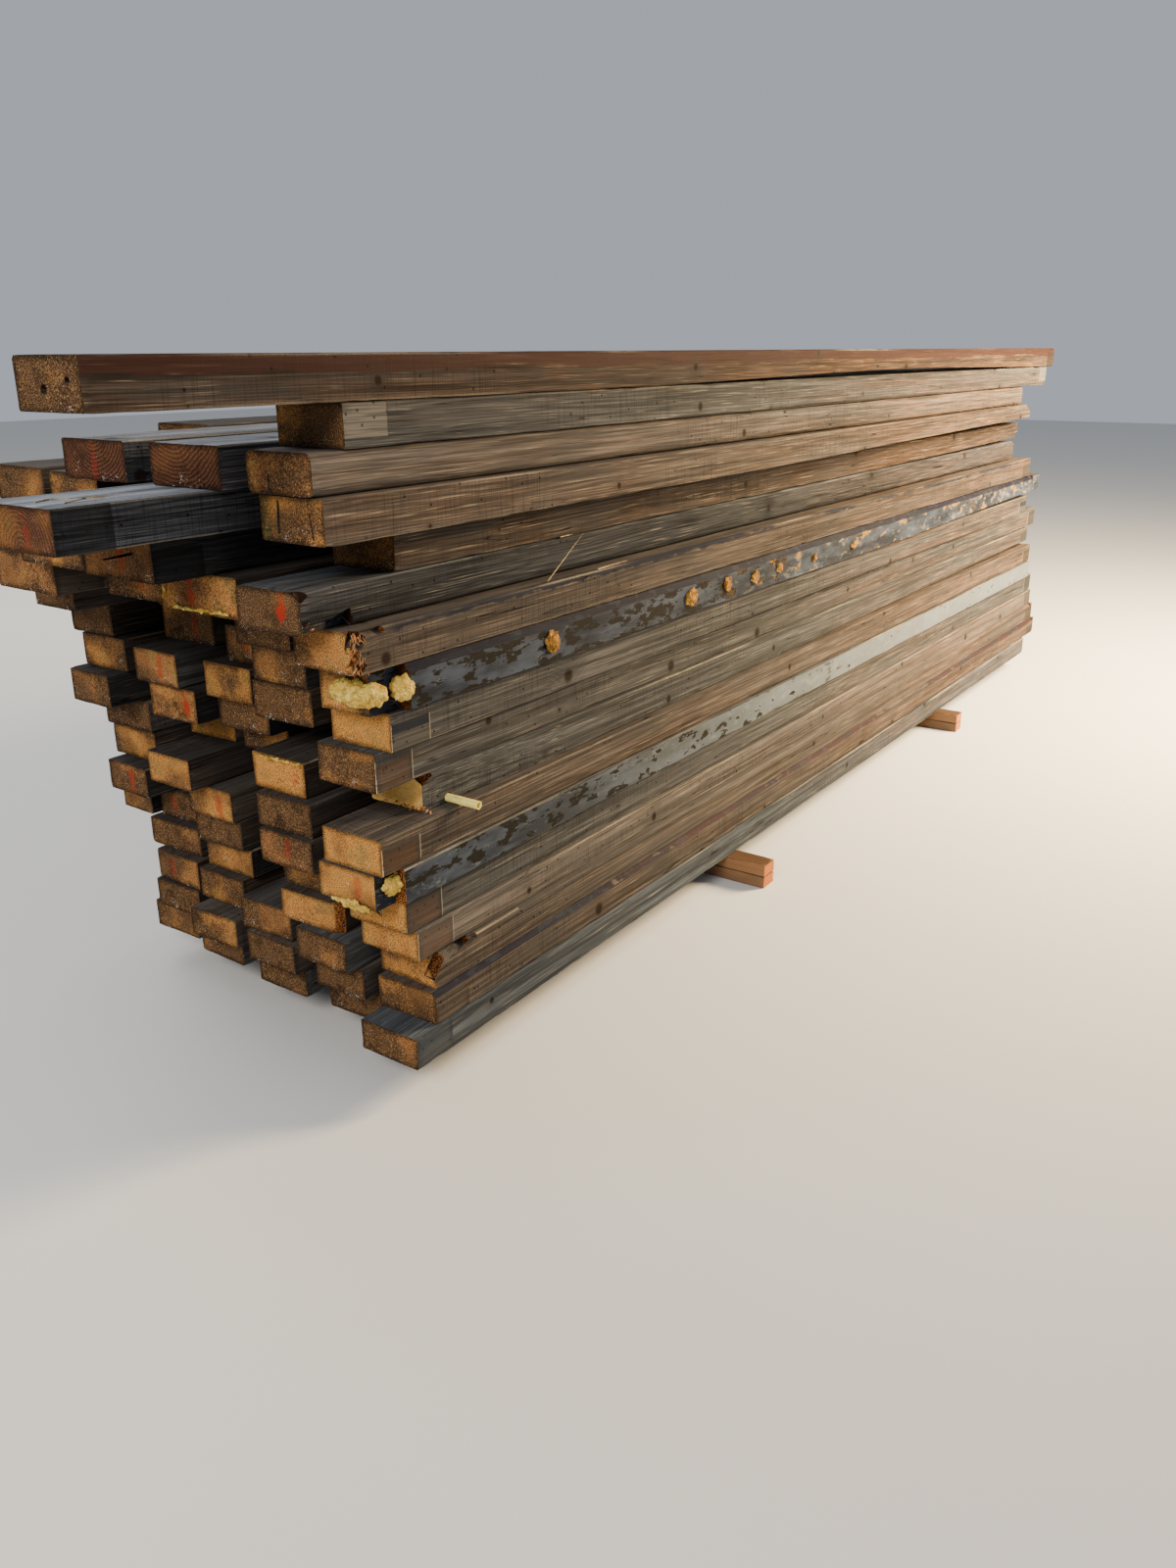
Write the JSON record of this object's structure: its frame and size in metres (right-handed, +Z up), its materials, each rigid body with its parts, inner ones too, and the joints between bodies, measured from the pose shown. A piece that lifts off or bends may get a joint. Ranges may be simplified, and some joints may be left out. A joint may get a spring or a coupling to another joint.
{
  "type": "stack of reclaimed timber joists",
  "caption": "Tall stack of old sawn floor joists laid flat in courses on two low lath bearers, with ragged near ends and one joist overhanging on top.",
  "frame": {"origin": "centre of the outer box at the height of the bearers' underside", "axes": "+X along the joists away from the ragged near ends, -Y out of the long face with the painted joists, +Z up"},
  "size_m": [4.644, 1.211, 1.341],
  "materials": {
    "joist_wood": "old sawn softwood, weathered brown grey, dull and slightly furry",
    "bearer_wood": "sawn softwood laths, dull",
    "cured_foam": "cured gap foam, yellow, browned by light",
    "conduit_plastic": "pale yellow plastic tube, dull"
  },
  "bodies": {
    "root": {"bearers_lower": "bearer_wood", "bearers_upper": "bearer_wood", "conduit_stub": "conduit_plastic", "course_01": "joist_wood", "course_02": "joist_wood", "course_03": "joist_wood", "course_04": "joist_wood", "course_05": "joist_wood", "course_06": "joist_wood", "course_07": "joist_wood", "course_08": "joist_wood", "course_09": "joist_wood", "course_10": "joist_wood", "course_11": "joist_wood", "course_12": "joist_wood", "course_13": "joist_wood", "course_14": "joist_wood", "course_15": "joist_wood", "course_16": "joist_wood", "course_17": "joist_wood", "course_18": "joist_wood", "foam_residue": "cured_foam"}
  },
  "joints": []
}
